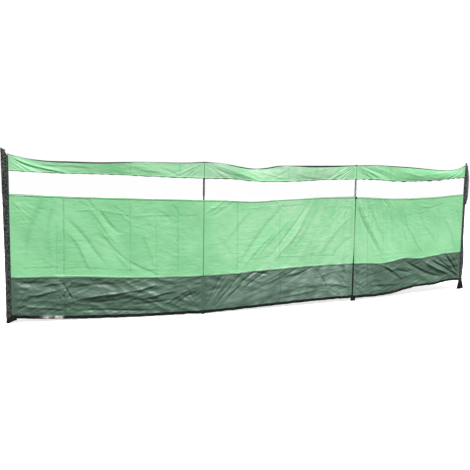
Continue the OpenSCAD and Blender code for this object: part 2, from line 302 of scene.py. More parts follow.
# Fans of tension folds: corner, direction from and to in degrees, folds, reach in
# metres and height in millimetres
FANS = [
    [((0.0, 1.25), -50, -14, 3, 0.13, 3.5), ((1.5, 1.25), 196, 236, 4, 0.10, 2),
     ((1.5, 0.02), 110, 160, 4, 0.13, 1.5), ((0.0, 0.02), 24, 70, 4, 0.12, 2),
     ((0.0, 0.93), -66, -20, 5, 0.08, 1)],
    [((0.0, 1.25), -52, -12, 3, 0.13, 2), ((1.5, 1.25), 192, 236, 5, 0.12, 2.5),
     ((0.0, 0.02), 22, 72, 5, 0.2, 4), ((1.5, 0.95), 205, 262, 5, 0.16, 1),
     ((1.5, 0.03), 100, 150, 4, 0.12, 2)],
    [((0.0, 1.25), -54, -10, 4, 0.12, 2.5), ((1.5, 1.25), 192, 234, 4, 0.10, 3),
     ((1.5, 0.02), 112, 168, 6, 0.15, 5), ((0.0, 0.94), -84, -40, 4, 0.16, 1.5),
     ((0.0, 0.02), 20, 80, 4, 0.10, 2)],
]


def smooth_curve(points, x):
    """Cubic curve through given points, each slope taken from its neighbours."""
    px, py = np.array(points, float).T
    slope = np.gradient(py, px)
    i = np.clip(np.searchsorted(px, x) - 1, 0, len(px) - 2)
    w = px[i + 1] - px[i]
    u = np.clip((x - px[i]) / w, 0, 1)
    return ((2 * u**3 - 3 * u**2 + 1) * py[i] + (u**3 - 2 * u**2 + u) * w * slope[i]
            + (3 * u**2 - 2 * u**3) * py[i + 1] + (u**3 - u**2) * w * slope[i + 1])


def eased(x, start, end):
    """0 before start, 1 after end, and smooth between them."""
    u = np.clip((x - start) / (end - start), 0, 1)
    return u * u * (3 - 2 * u)


def grain(u, v, seed):
    """Smooth gradient noise over u and v, about -0.7 to 0.7."""
    rng = np.random.default_rng(seed)
    turn = rng.permutation(256)
    angles = rng.uniform(0, 2 * math.pi, 256)
    u0, v0 = np.floor(u).astype(int), np.floor(v).astype(int)
    fu, fv = u - u0, v - v0
    eu, ev = fu**3 * (fu * (6 * fu - 15) + 10), fv**3 * (fv * (6 * fv - 15) + 10)

    def corner(iu, iv):
        a = angles[turn[(turn[(u0 + iu) % 256] + v0 + iv) % 256]]
        return np.cos(a) * (fu - iu) + np.sin(a) * (fv - iv)

    lower = corner(0, 0) * (1 - eu) + corner(1, 0) * eu
    upper = corner(0, 1) * (1 - eu) + corner(1, 1) * eu
    return lower * (1 - ev) + upper * ev


def ridged(u, v, seed):
    """Noise with sharp crests, 0 to 1, like crumpled foil."""
    return 1 - np.clip(2.2 * np.abs(grain(u, v, seed)), 0, 1)


def along_segment(s, h, start, end):
    """How far along a segment each point lies, from 0 to 1, and how far below it."""
    a, b = np.array(start), np.array(end)
    way = b - a
    t = ((s - a[0]) * way[0] + (h - a[1]) * way[1]) / (way @ way)
    side = ((s - a[0]) * way[1] - (h - a[1]) * way[0]) / math.sqrt(way @ way)
    return t, side * math.copysign(1, way[0])


def fold_body(below, width, height):
    """Section of a fold. A ridge is steep below its crest and a hollow steep above its
    line, so both show as a narrow shade beside a broad light."""
    steep = below if height > 0 else -below
    share = np.abs(below) / (width * np.where(steep > 0, 0.55, 1.5))
    return np.exp(-share**1.4)


def by_fold(s, h, start, end, width):
    """How far each point lies below a fold's wandering line, and how much of the fold
    is there, 0 to 1: a fold dies away slowly at its ends."""
    t, below = along_segment(s, h, start, end)
    wander = 0.5 * width * MM * np.sin(5 * t + 7 * start[0])
    return below - wander, eased(t, -0.12, 0.3) * (1 - eased(t, 0.7, 1.12))


def by_crease(s, h, start, end):
    """The same beside a crease, which stops short at its ends, and the way along it."""
    t, below = along_segment(s, h, start, end)
    wander = 1.5 * MM * np.sin(23 * t + 31 * start[1])
    return below - wander, eased(t, -0.03, 0.06) * (1 - eased(t, 0.94, 1.03)), t


def folds_at(b, s, h):
    """How far the folds, creases and fans of bay b push the cloth forward."""
    total = np.zeros_like(s)
    for start, end, width, height in FOLDS[b]:
        below, share = by_fold(s, h, start, end, width)
        total += height * MM * fold_body(below, width * MM, height) * share
    for start, end, depth in CREASES[b]:
        below, share, t = by_crease(s, h, start, end)
        body = np.exp(-np.abs(below) / CREASE_W)
        broken = 0.65 + 0.7 * grain(t * 9, t * 0 + start[0] * 13, 7)
        total += depth * MM * body * share * broken
    for (s0, h0), angle_1, angle_2, count, reach, height in FANS[b]:
        ds, dh = s - s0, h - h0
        r = np.hypot(ds, dh) / reach
        middle = (angle_1 + angle_2) / 2
        angle = (np.degrees(np.arctan2(dh, ds)) - middle + 180) % 360 - 180
        share = angle / (angle_2 - angle_1)
        window = np.clip(1 - (2 * share) ** 2, 0, 1)
        rays = np.cos(2 * math.pi * count * share + 2.5 * grain(share * 3, share * 0 + s0, 11))
        if h0 < SKIRT_TOP:
            window = window * (1 - eased(h, SKIRT_TOP - 0.05, SKIRT_TOP))
        total += height * MM * r * np.exp(1 - r) * window * rays
    return total


# A crease this deep gets the full painted shade, in millimetres, and so does a fold this high
FULL_SHADE_CREASE = 5.5
FULL_SHADE_FOLD = 5
CREASE_SHADE_W = 4.5 * MM         # how far to each side of a crease the painted shade reaches


def crease_shade_at(b, s, h):
    """Painted shade: the creases and a line just below each fold drawn darker, 0 to 1."""
    total = np.zeros_like(s)
    for start, end, depth in CREASES[b]:
        below, share, t = by_crease(s, h, start, end)
        broken = 0.7 + 0.9 * grain(t * 12, t * 0 + start[0] * 13, 9)
        shade_line = np.exp(-(below / CREASE_SHADE_W) ** 2)
        total += abs(depth) / FULL_SHADE_CREASE * shade_line * share * broken
    for start, end, width, height in FOLDS[b]:
        below, share = by_fold(s, h, start, end, width)
        shade_line = np.exp(-((below - 4 * MM) / (0.45 * width * MM)) ** 2)
        total += 0.25 * min(abs(height) / FULL_SHADE_FOLD, 1) * shade_line * share
    return np.clip(total, 0, 0.75)


# Spots where the skirt is crushed: metres along the bay and up the cloth, radius in
# metres and height in millimetres
CRUSHED = [
    [(0.42, 0.19, 0.09, 7), (0.97, 0.15, 0.07, 4), (1.36, 0.2, 0.06, 4), (0.12, 0.1, 0.08, 4)],
    [(1.15, 0.18, 0.08, 6), (0.36, 0.24, 0.06, 4), (0.72, 0.2, 0.07, 4), (0.03, 0.2, 0.05, 4)],
    [(0.35, 0.26, 0.06, 5), (0.55, 0.2, 0.07, 4), (0.1, 0.1, 0.08, 4), (1.0, 0.2, 0.06, 3)],
]


# How far painted sheen pales the top band, the light panel and the skirt, 0 to 1, and
# which way its streaks lean, all by metres along the whole sheet
BAND_SHEEN = [(0, 0.3), (0.8, 0.08), (1.3, 0.3), (2.0, 0.5), (2.8, 0.4), (3.3, 0.08),
              (4.5, 0.15)]
PANEL_SHEEN = [(0, 0), (1.2, 0.03), (1.7, 0.12), (2.3, 0.26), (3.0, 0.2), (3.5, 0.06),
               (4.5, 0.05)]
SKIRT_SHEEN = [(0, 0), (1.4, 0), (1.9, 0.25), (2.6, 0.45), (3.0, 0.3), (3.3, 0.03), (4.5, 0)]
STREAK_LEAN = [(0, -0.6), (1.3, -0.6), (1.8, 0.55), (2.8, 0.55), (3.2, -0.6), (4.5, -0.6)]


def sheen_at(b, s, h):
    """Painted sheen that pales the cloth, 0 to 1, in streaks that run with the folds."""
    u = s + BAY_W * b
    cover = 1.2 - eased(h, 0.08, 0.26) * (1 - eased(u, 2.2, 2.8))
    skirt = smooth_curve(SKIRT_SHEEN, u) * cover
    band, panel = smooth_curve(BAND_SHEEN, u), smooth_curve(PANEL_SHEEN, u)
    upper = np.where(h > WINDOW_TOP, band, panel)
    amount = np.where(h > SKIRT_TOP, upper, skirt)
    across = (u - smooth_curve(STREAK_LEAN, u) * h) * 9
    streaks = grain(across, h * 2.2 + u, 120) + 0.5 * grain(u * 19, h * 15, 124)
    return np.clip(amount + (0.22 + amount) * 0.9 * streaks, 0, 1)


def crumple_at(b, s, h):
    """Handling wrinkles: long and low on the skirt, short dashes in patches on the panel."""
    seed = 40 + 10 * b
    along = s + BAY_W * b
    warp = 0.05 * grain(along * 5, h * 6, seed + 5)
    skirt = 1 - eased(h, SKIRT_TOP - 0.01, SKIRT_TOP + 0.01)
    u, v = along + warp, h + 0.6 * warp
    lower = (7.5 * ridged(u * 4 + 2 * v, v * 12 + u * 2, seed)
             + 4.0 * ridged(u * 9 - 5 * v, v * 24 - u * 5, seed + 1)
             + 1.8 * ridged(u * 20 + 9 * v, v * 42 + u * 8, seed + 6))
    for s0, h0, radius, height in CRUSHED[b]:
        near = np.exp(-((s - s0) ** 2 + (h - h0) ** 2) / radius**2)
        lower = lower + near * height * ridged(u * 26 + v * 8, v * 34 - u * 7, seed + 2)
    patches = 0.35 + 0.65 * eased(grain(along * 2.2, h * 3.1, seed + 8), -0.25, 0.35)
    panel = (1.2 * ridged(u * 5, v * 19 + u, seed + 2) * patches
             + 1.1 * ridged(u * 12 + 4 * v, v * 38 - u * 3, seed + 3) * patches
             + 0.6 * ridged(u * 26 - 9 * v, v * 52 + u * 5, seed + 7)
             + 0.9 * ridged(u * 7 + v * 6, v * 8 - u * 5, seed + 9)
             + 2.0 * grain(u * 4, v * 5, seed + 4))
    return (skirt * lower + (1 - skirt) * panel) * MM


def cloth_span(b):
    """Where the cloth of bay b starts and ends along the bay."""
    start = SLEEVE_IN - TUCK if b == 0 else 0
    return start, BAY_W - (SLEEVE_IN - TUCK if b == BAY_COUNT - 1 else 0)


# Painted highlights of folds on the hem tape: metres along the bay, and half length
HEM_HIGHLIGHTS = [[(0.28, 0.03), (0.355, 0.022), (0.385, 0.012)], [], []]


def hem_highlight_at(b, s, h):
    """How pale the painted fold highlights make the hem tape, 0 to 1."""
    total = np.zeros_like(s)
    for at, reach in HEM_HIGHLIGHTS[b]:
        total += np.exp(-((s - at) / reach) ** 2)
    return np.clip(total * (0.75 + 0.9 * grain(s * 90, h * 120, 130 + b)), 0, 0.9)


def no_sheen(b, s, h):
    """For tapes that get no painted sheen."""
    return np.zeros_like(s)


def held_share(b, s):
    """0 at the poles, where the sheet is held to them, and 1 away from them."""
    start, end = cloth_span(b)
    near = HELD_AT_END if b == 0 else HELD_AT_MIDDLE
    far = HELD_AT_END if b == BAY_COUNT - 1 else HELD_AT_MIDDLE
    return (eased(s, start + HELD_FLAT, start + near)
            * (1 - eased(s, end - far, end - HELD_FLAT)))


def lean_at(b, s, h):
    """How far the slack top band leans forward or back."""
    up = np.clip((h - WINDOW_TOP) / (SHEET_H - WINDOW_TOP), 0, 1)
    bow, tip = smooth_curve(BAND_BOW[b], s) * MM, smooth_curve(BAND_TIP[b], s) * MM
    return 4 * bow * up * (1 - up) + tip * up * up


def forward_at(b, s, h):
    """How far the cloth stands forward of the poles' line."""
    swell = SWELL[b] * MM * np.sin(math.pi * s / BAY_W) * (0.4 + 0.6 * np.sin(2.2 * h))
    rise = eased(h, 0, WINDOW_FOOT) - eased(h, WINDOW_FOOT, SHEET_H)
    swell = swell - PANEL_LEAN[b] * MM * (rise - 0.3) * np.sin(math.pi * s / BAY_W) ** 0.5
    loose = folds_at(b, s, h) + crumple_at(b, s, h) + lean_at(b, s, h)
    forward = held_share(b, s) * (swell + loose)
    pole_line = POLES[b].y + (POLES[b + 1].y - POLES[b].y) * s / BAY_W
    room = pole_line - FRONT_MOST - CLOTH_FRONT - 3 * MM
    return np.where(forward > 0, room * np.tanh(forward / room), forward)


def drop_at(b, s, h):
    """How far the cloth hangs below its straight line, between the seams' own drops."""
    drops = np.array([smooth_curve(seam[b], s) for seam in SEAM_DROPS]) * MM
    drops[0] += HEM_WAVE * grain(s * HEM_WAVES + 9 * b, s * 0, 141) * held_share(b, s)
    i = np.clip(np.searchsorted(SEAM_HEIGHTS, h) - 1, 0, len(SEAM_HEIGHTS) - 2)
    heights = np.array(SEAM_HEIGHTS)
    u = (h - heights[i]) / (heights[i + 1] - heights[i])
    column = np.arange(len(s))
    return drops[i, column] * (1 - u) + drops[i + 1, column] * u


def bay_axes(b):
    """The way along bay b and the way to its front."""
    along = (POLES[b + 1] - POLES[b]).normalized()
    return along, Vector((along.y, -along.x, 0))


def in_bay(b, s, forward, z):
    """Points of bay b from the way along it, the way to its front and the height."""
    along, front = (np.array(v) for v in bay_axes(b))
    places = np.array(POLES[b]) + np.outer(s, along) + np.outer(forward, front)
    places[:, 2] = z
    return places


def cloth_at(b, s, h, proud=0.0):
    """Points of the cloth of bay b, s along it and h up it, standing proud of it."""
    hem_line = LIFTS[b] * (1 - s / BAY_W) + LIFTS[b + 1] * s / BAY_W
    forward = CLOTH_FRONT + forward_at(b, s, h) + proud
    return in_bay(b, s, forward, hem_line + h - drop_at(b, s, h))


# ---------------------------------------------------------------- making pieces
def finished(name, mesh, material, slot):
    piece = bpy.data.objects.new(name, mesh)
    bpy.context.scene.collection.objects.link(piece)
    mesh.materials.append(material)
    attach(piece, "root")
    return piece


def grid_mesh(name, columns, rows, place, uv, layers=None):
    """A grid bent by place(a, b), where a and b run from 0 to 1 along it and up it.
    layers holds what the materials read at each spot: how much painted shade and painted sheen
    it gets."""
    bm = bmesh.new()
    bmesh.ops.create_grid(bm, x_segments=columns, y_segments=rows, size=0.5)
    layer = bm.loops.layers.uv.new("UVMap")
    mesh = bpy.data.meshes.new(name)
    bm.verts.ensure_lookup_table()
    flat = np.array([v.co[:2] for v in bm.verts]) + 0.5
    places, maps = place(flat[:, 0], flat[:, 1]), uv(flat[:, 0], flat[:, 1])
    for v, co in zip(bm.verts, places):
        v.co = co
    for key, amount_at in (layers or {}).items():
        made = bm.verts.layers.float.new(key)
        bm.verts.ensure_lookup_table()
        for v, amount in zip(bm.verts, amount_at(flat[:, 0], flat[:, 1])):
            v[made] = amount
    for face in bm.faces:
        face.smooth = True
        for loop in face.loops:
            loop[layer].uv = maps[loop.vert.index]
    bm.to_mesh(mesh)
    bm.free()
    return mesh


def thicken(piece, thickness):
    solidify = piece.modifiers.new("thickness", "SOLIDIFY")
    solidify.thickness = thickness
    solidify.offset = 0
    return piece


def strip(name, b, foot, head, material, slot, step=WEAVE_STEP, proud=0.0, thickness=CLOTH_T,
          spread=None, sheen_of=sheen_at):
    """A strip of cloth of bay b between two heights up the sheet. spread(s) makes it
    wider below its foot, in metres, and the last argument, given (b, s, h), is how far painted
    highlights pale it."""
    start, end = cloth_span(b)

    def spot(a, c):
        s = start + a * (end - start)
        lower = spread(s) if spread else 0
        return s, foot - lower + c * (head - foot + lower)

    def place(a, c):
        return cloth_at(b, *spot(a, c), proud)

    def uv(a, c):
        s, h = spot(a, c)
        return np.stack([s + b * BAY_W, h], axis=1)

    rows = max(1, round((head - foot) / step))
    mesh = grid_mesh(name, round((end - start) / step), rows, place, uv,
                     {"crease_shade": lambda a, c: crease_shade_at(b, *spot(a, c)),
                      "painted_sheen": lambda a, c: sheen_of(b, *spot(a, c))})
    return thicken(finished(name, mesh, material, slot), thickness)


# ---------------------------------------------------------------- materials
def linear(hex_colour, alpha=1.0):
    """Linear colour of an sRGB hex value."""
    channels = [int(hex_colour[i:i + 2], 16) / 255 for i in (1, 3, 5)]
    return (*[c / 12.92 if c <= 0.04045 else ((c + 0.055) / 1.055) ** 2.4 for c in channels],
            alpha)


def new_material(name):
    material = bpy.data.materials.new(name)
    material.use_nodes = True
    return material, material.node_tree, material.node_tree.nodes["Principled BSDF"]


def add(tree, kind, settings=None, links=None):
    """Adds a shader node; settings are attributes or inputs, and links feed inputs."""
    made = tree.nodes.new(kind)
    for key, value in (settings or {}).items():
        if isinstance(key, str) and hasattr(made, key):
            setattr(made, key, value)
        else:
            made.inputs[key].default_value = value
    for key, socket in (links or {}).items():
        tree.links.new(socket, made.inputs[key])
    return made


def toward(tree, layer, colour, aim):
    """The colour drawn toward another as far as a vertex layer says."""
    share = add(tree, "ShaderNodeAttribute", {"attribute_name": layer})
    mixed = add(tree, "ShaderNodeMix", {"data_type": "RGBA", 7: linear(aim)},
                {0: share.outputs["Fac"], 6: colour})
    return mixed.outputs[2]


# A wave texture repeats each time its scaled coordinate has grown by this much
WAVE_REPEAT = math.pi / 10


def woven_tape(name, base, shade, light, crease_shade_colour, painted_sheen, roughness, gloss, tape):
    """Woven polyethylene tape cloth, thinly coated on both faces.
    It gives a soft plastic sheen over a fine over-and-under of flat tapes."""
    material, tree, shader = new_material(name)
    uv = add(tree, "ShaderNodeUVMap", {"uv_map": "UVMap"}).outputs["UV"]
    scale = WAVE_REPEAT / (2 * tape)
    checks = add(tree, "ShaderNodeTexChecker", {"Scale": 1 / tape}, {"Vector": uv})
    across = add(tree, "ShaderNodeTexWave", {"bands_direction": "X", "Scale": scale},
                 {"Vector": uv})
    upward = add(tree, "ShaderNodeTexWave", {"bands_direction": "Y", "Scale": scale},
                 {"Vector": uv})
    weave = add(tree, "ShaderNodeMix", {"data_type": "FLOAT"},
                {0: checks.outputs["Fac"], 2: across.outputs["Fac"], 3: upward.outputs["Fac"]})
    blotch = add(tree, "ShaderNodeTexNoise", {"Scale": 3.0, "Detail": 5.0}, {"Vector": uv})
    tone = add(tree, "ShaderNodeValToRGB", links={"Fac": blotch.outputs["Fac"]})
    tone.color_ramp.elements[0].position = 0.3
    tone.color_ramp.elements[0].color = linear(shade)
    tone.color_ramp.elements[1].position = 0.7
    tone.color_ramp.elements[1].color = linear(light)
    middle = tone.color_ramp.elements.new(0.5)
    middle.color = linear(base)
    threads = add(tree, "ShaderNodeMapRange", {"To Min": 0.94, "To Max": 1.03},
                  {"Value": weave.outputs[0]})
    colour = add(tree, "ShaderNodeMix",
                 {"data_type": "RGBA", "blend_type": "MULTIPLY", "Factor": 1.0},
                 {6: tone.outputs["Color"], 7: threads.outputs["Result"]})
    # painted sheen: the cloth drawn paler where the vertex layer says
    sheened = toward(tree, "painted_sheen", colour.outputs[2], painted_sheen)
    # painted shade: creases and the undersides of folds drawn darker where the vertex layer says
    tree.links.new(toward(tree, "crease_shade", sheened, crease_shade_colour), shader.inputs["Base Color"])
    mottle = add(tree, "ShaderNodeTexNoise", {"Scale": 18.0, "Detail": 4.0}, {"Vector": uv})
    rough = add(tree, "ShaderNodeMapRange",
                {"To Min": roughness - 0.06, "To Max": roughness + 0.08},
                {"Value": mottle.outputs["Fac"]})
    tree.links.new(rough.outputs["Result"], shader.inputs["Roughness"])
    relief = add(tree, "ShaderNodeBump", {"Strength": 0.25, "Distance": 0.15 * MM},
                 {"Height": weave.outputs[0]})
    flatter = add(tree, "ShaderNodeMapping", {"Scale": (0.45, 1.0, 1.0)}, {"Vector": uv})
    crinkle = add(tree, "ShaderNodeTexNoise", {"Scale": 70.0, "Detail": 5.0, "Distortion": 0.6},
                  {"Vector": flatter.outputs["Vector"]})
    bump = add(tree, "ShaderNodeBump", {"Strength": 0.6, "Distance": 1.6 * MM},
               {"Height": crinkle.outputs["Fac"], "Normal": relief.outputs["Normal"]})
    tree.links.new(bump.outputs["Normal"], shader.inputs["Normal"])
    shader.inputs["Specular IOR Level"].default_value = gloss
    return material


def two_tone(tree, pattern, dark, light, low=0.35, high=0.65):
    """Colour that runs from dark to light with a pattern."""
    ramp = add(tree, "ShaderNodeValToRGB", links={"Fac": pattern})
    ramp.color_ramp.elements[0].position = low
    ramp.color_ramp.elements[0].color = linear(dark)
    ramp.color_ramp.elements[1].position = high
    ramp.color_ramp.elements[1].color = linear(light)
    return ramp.outputs["Color"]


HEM_HIGHLIGHT_COLOUR = "#D8D4D0"    # painted highlight on the black tape's folds


def webbing(name, dark, light, rib):
    """Woven polyester webbing. It gives a dull ribbed face, dusty along the ribs."""
    material, tree, shader = new_material(name)
    uv = add(tree, "ShaderNodeUVMap", {"uv_map": "UVMap"}).outputs["UV"]
    ribs = add(tree, "ShaderNodeTexWave",
               {"bands_direction": "X", "Scale": WAVE_REPEAT / rib,
                "Distortion": 1.5, "Detail": 1.0}, {"Vector": uv})
    dust = add(tree, "ShaderNodeTexNoise", {"Scale": 35.0, "Detail": 6.0}, {"Vector": uv})
    colour = two_tone(tree, dust.outputs["Fac"], dark, light, 0.42, 0.78)
    # painted highlight: the tape drawn pale where the vertex layer says
    tree.links.new(toward(tree, "painted_sheen", colour, HEM_HIGHLIGHT_COLOUR), shader.inputs["Base Color"])
    shader.inputs["Roughness"].default_value = 0.8
    shader.inputs["Specular IOR Level"].default_value = 0.25
    bump = add(tree, "ShaderNodeBump", {"Strength": 0.6, "Distance": 0.4 * MM},
               {"Height": ribs.outputs["Fac"]})
    tree.links.new(bump.outputs["Normal"], shader.inputs["Normal"])
    return material


def spun_thread(name, dark, light, twist):
    """Spun polyester thread. Its twist shows as fine slanting stripes with a dull shine,
    drawn coarser than real."""
    material, tree, shader = new_material(name)
    place = add(tree, "ShaderNodeTexCoord").outputs["Object"]
    plies = add(tree, "ShaderNodeTexWave",
                {"bands_direction": "DIAGONAL", "Scale": WAVE_REPEAT / twist, "Distortion": 0.8},
                {"Vector": place})
    colour = two_tone(tree, plies.outputs["Fac"], dark, light, 0.1, 0.9)
    tree.links.new(colour, shader.inputs["Base Color"])
    shader.inputs["Roughness"].default_value = 0.6
    bump = add(tree, "ShaderNodeBump", {"Strength": 0.5, "Distance": 0.2 * MM},
               {"Height": plies.outputs["Fac"]})
    tree.links.new(bump.outputs["Normal"], shader.inputs["Normal"])
    return material


def mesh_cloth(name, dark, light, pale_sheen, pitch):
    """Knitted mesh cloth. Its loops show as pale specks on black, painted highlights on the
    loops, drawn coarser than the real knit so that they show."""
    material, tree, shader = new_material(name)
    uv = add(tree, "ShaderNodeUVMap", {"uv_map": "UVMap"}).outputs["UV"]
    loops = add(tree, "ShaderNodeTexVoronoi", {"Scale": 1 / pitch}, {"Vector": uv})
    mottle = add(tree, "ShaderNodeTexNoise", {"Scale": 80.0, "Detail": 4.0}, {"Vector": uv})
    glint_specks = add(tree, "ShaderNodeMath", {"operation": "MULTIPLY_ADD", 1: -0.55},
                 {0: loops.outputs["Distance"], 2: mottle.outputs["Fac"]})
    colour = two_tone(tree, glint_specks.outputs[0], dark, light, 0.2, 0.4)
    # the sleeve's painted sheen, drawn in where the vertex layer says
    tree.links.new(toward(tree, "painted_sheen", colour, pale_sheen), shader.inputs["Base Color"])
    shader.inputs["Sheen Weight"].default_value = 0.15
    shader.inputs["Sheen Roughness"].default_value = 0.5
    shader.inputs["Sheen Tint"].default_value = linear("#D4D0DC")
    shader.inputs["Roughness"].default_value = 0.65
    shader.inputs["Specular IOR Level"].default_value = 0.35
    bump = add(tree, "ShaderNodeBump", {"Strength": 0.7, "Distance": 0.8 * MM},
               {"Height": glint_specks.outputs[0]})
    tree.links.new(bump.outputs["Normal"], shader.inputs["Normal"])
    return material


def zinc_steel(name, dark, light):
    """Drawn steel tube, zinc coated. It gives a cloudy grey shine that dulls in patches."""
    material, tree, shader = new_material(name)
    place = add(tree, "ShaderNodeTexCoord").outputs["Object"]
    clouds = add(tree, "ShaderNodeTexNoise", {"Scale": 0.9, "Detail": 2.0}, {"Vector": place})
    spangle = add(tree, "ShaderNodeTexVoronoi", {"Scale": 1 / (6 * MM)}, {"Vector": place})
    mixed = add(tree, "ShaderNodeMath", {"operation": "MULTIPLY_ADD", 1: 0.25},
                {0: spangle.outputs["Distance"], 2: clouds.outputs["Fac"]})
    colour = two_tone(tree, mixed.outputs[0], dark, light, 0.45, 0.75)
    tree.links.new(colour, shader.inputs["Base Color"])
    dull = add(tree, "ShaderNodeMapRange", {"To Min": 0.32, "To Max": 0.5},
               {"Value": spangle.outputs["Distance"]})
    tree.links.new(dull.outputs["Result"], shader.inputs["Roughness"])
    shader.inputs["Metallic"].default_value = 1.0
    return material


def moulded_plastic():
    """Injection-moulded polyethylene. It gives a satin black with a fine grain."""
    material, tree, shader = new_material("moulded_polyethylene_black")
    place = add(tree, "ShaderNodeTexCoord").outputs["Object"]
    grit = add(tree, "ShaderNodeTexNoise", {"Scale": 1 / (1.5 * MM), "Detail": 3.0},
               {"Vector": place})
    colour = two_tone(tree, grit.outputs["Fac"], "#101211", "#1E2120")
    tree.links.new(colour, shader.inputs["Base Color"])
    shader.inputs["Roughness"].default_value = 0.45
    bump = add(tree, "ShaderNodeBump", {"Strength": 0.3, "Distance": 0.1 * MM},
               {"Height": grit.outputs["Fac"]})
    tree.links.new(bump.outputs["Normal"], shader.inputs["Normal"])
    return material


# Each cloth's fourth colour is the painted shade of its creases and fold undersides, and its
# fifth the painted sheen that pales it
LIGHT_CLOTH = woven_tape("woven_polyethylene_light_green", "#90DA9E", "#84D094", "#9CE2AA",
                         "#5FAE77", "#C2E4C4", 0.5, 0.5, 2.0 * MM)
DARK_CLOTH = woven_tape("woven_polyethylene_dark_green", "#4C6B58", "#435F4E", "#567662",
                        "#2C4436", "#83A091", 0.47, 0.8, 2.0 * MM)
BLACK_TAPE = webbing("woven_webbing_black", "#0E1210", "#262C29", 2.5 * MM)
# Its second colour is the painted highlight on the knit's loops and its third the painted sheen
# of the end sleeves
BLACK_CLOTH = mesh_cloth("knitted_mesh_cloth_black", "#0D1210", "#646E69", "#8C8995",
                         6.5 * MM)
BINDING = webbing("woven_binding_charcoal", "#2A3230", "#4A4F52", 2.5 * MM)
PALE_THREAD = spun_thread("spun_polyester_thread_pale", "#72B880", "#86D094", 1.2 * MM)
DARK_THREAD = spun_thread("spun_polyester_thread_dark", "#2B3E33", "#3B5245", 1.2 * MM)
# Dark green for the seam lines at the poles: painted shade of the pleats there
SEAM_SHADE_THREAD = spun_thread("seam_thread_green_painted_shade", "#336846", "#4B8A5C", 3.0 * MM)
STEEL = zinc_steel("zinc_coated_steel_drawn", "#84858A", "#BEBCC4")
# A darker copy of the same steel for pole 2: painted shade
SHADED_STEEL = zinc_steel("zinc_coated_steel_painted_shade", "#3A3C3E", "#8A8A90")
PLASTIC = moulded_plastic()


def clear_film():
    """Soft clear PVC film, calendered. Too thin to bend light, so its body has nearly the
    index of air, and a coat carries the gloss that its rippled face shows."""
    material, tree, shader = new_material("calendered_pvc_film_clear")
    shader.inputs["Base Color"].default_value = linear("#FFFFFF")
    shader.inputs["Roughness"].default_value = 0.05
    shader.inputs["Transmission Weight"].default_value = 1.0
    shader.inputs["IOR"].default_value = 1.03
    shader.inputs["Alpha"].default_value = 0.25
    shader.inputs["Coat Weight"].default_value = 1.0
    shader.inputs["Coat Roughness"].default_value = 0.07
    shader.inputs["Coat IOR"].default_value = 1.53
    uv = add(tree, "ShaderNodeUVMap", {"uv_map": "UVMap"}).outputs["UV"]
    ripple = add(tree, "ShaderNodeTexNoise", {"Scale": 14.0, "Detail": 3.0}, {"Vector": uv})
    bump = add(tree, "ShaderNodeBump", {"Strength": 0.5, "Distance": 2 * MM},
               {"Height": ripple.outputs["Fac"]})
    tree.links.new(bump.outputs["Normal"], shader.inputs["Normal"])
    tree.links.new(bump.outputs["Normal"], shader.inputs["Coat Normal"])
    return material


FILM = clear_film()


def sew_strips(b):
    """The strips of one bay, from the top edge to the hem, and what is sewn on them."""
    n = b + 1
    edge_tape = strip(f"top_edge_binding_{n}", b, BAND_TOP + 1 * MM, SHEET_H, BINDING,
                      "black_webbing", step=EDGE_STEP, proud=BINDING_PROUD, thickness=BINDING_T,
                      spread=lambda s: smooth_curve(BINDING_SHOWS[b], s) * MM, sheen_of=no_sheen)
    band = strip(f"band_cloth_{n}", b, WINDOW_TOP, BAND_TOP, LIGHT_CLOTH, "light_green_cloth")
    film = strip(f"window_film_{n}", b, WINDOW_FOOT - LAP, WINDOW_TOP + LAP, FILM,
                 "clear_film", step=FILM_STEP, proud=-FILM_BEHIND, thickness=FILM_T)
    panel = strip(f"panel_cloth_{n}", b, SKIRT_TOP, WINDOW_FOOT, LIGHT_CLOTH,
                  "light_green_cloth")
    skirt = strip(f"skirt_cloth_{n}", b, HEM_H, SKIRT_TOP, DARK_CLOTH, "dark_green_cloth")
    hem_tape = strip(f"hem_tape_{n}", b, 0, HEM_TAPE_H, BLACK_TAPE, "black_webbing",
                     step=EDGE_STEP, proud=HEM_PROUD, thickness=HEM_TAPE_T, sheen_of=hem_highlight_at)
    band_turn = strip(f"band_foot_turning_{n}", b, WINDOW_TOP, WINDOW_TOP + LAP, LIGHT_CLOTH,
                      "light_green_cloth", step=EDGE_STEP, proud=TURNING_PROUD)
    panel_turn = strip(f"panel_top_turning_{n}", b, WINDOW_FOOT - LAP, WINDOW_FOOT,
                       LIGHT_CLOTH, "light_green_cloth", step=EDGE_STEP, proud=TURNING_PROUD)
    skirt_turn = strip(f"skirt_top_turning_{n}", b, SKIRT_TOP - LAP, SKIRT_TOP + 1 * MM,
                       DARK_CLOTH, "dark_green_cloth", step=EDGE_STEP, proud=TURNING_PROUD)
    band_edge = strip(f"band_foot_piping_{n}", b, WINDOW_TOP - 1 * MM, WINDOW_TOP, BINDING,
                      "black_webbing", step=EDGE_STEP, thickness=PIPING_T,
                      spread=lambda s: broken_edge(b, s), sheen_of=no_sheen)
    panel_edge = strip(f"panel_top_piping_{n}", b, WINDOW_FOOT, WINDOW_FOOT + PIPING, BINDING,
                       "black_webbing", step=EDGE_STEP, thickness=PIPING_T, sheen_of=no_sheen)
    for piece, node in [(edge_tape, "top_binding"), (band, "top_band"), (film, "window"),
                        (panel, "main_panel"), (skirt, "skirt"), (hem_tape, "hem")]:
        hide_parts(f"{node}_{n}")
    pale, dark = stitch_rows(b)
    for piece, height, extras in [
            (band, BAND_TOP - WINDOW_TOP, [edge_tape, band_turn, band_edge]),
            (film, WINDOW_TOP - WINDOW_FOOT + 2 * LAP, []),
            (panel, WINDOW_FOOT - SKIRT_TOP, [panel_turn, panel_edge, pale]),
            (skirt, SKIRT_TOP - HEM_H, [skirt_turn, dark]),
            (hem_tape, HEM_TAPE_H, [])]:
        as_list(extras)


def broken_edge(b, s):
    """How far a rolled edge shows: a few millimetres in some stretches and hardly in others."""
    return PIPING * PIPING_SHOWS[b] * eased(grain(s * 14, s * 0, 61 + b), -0.15, 0.25)


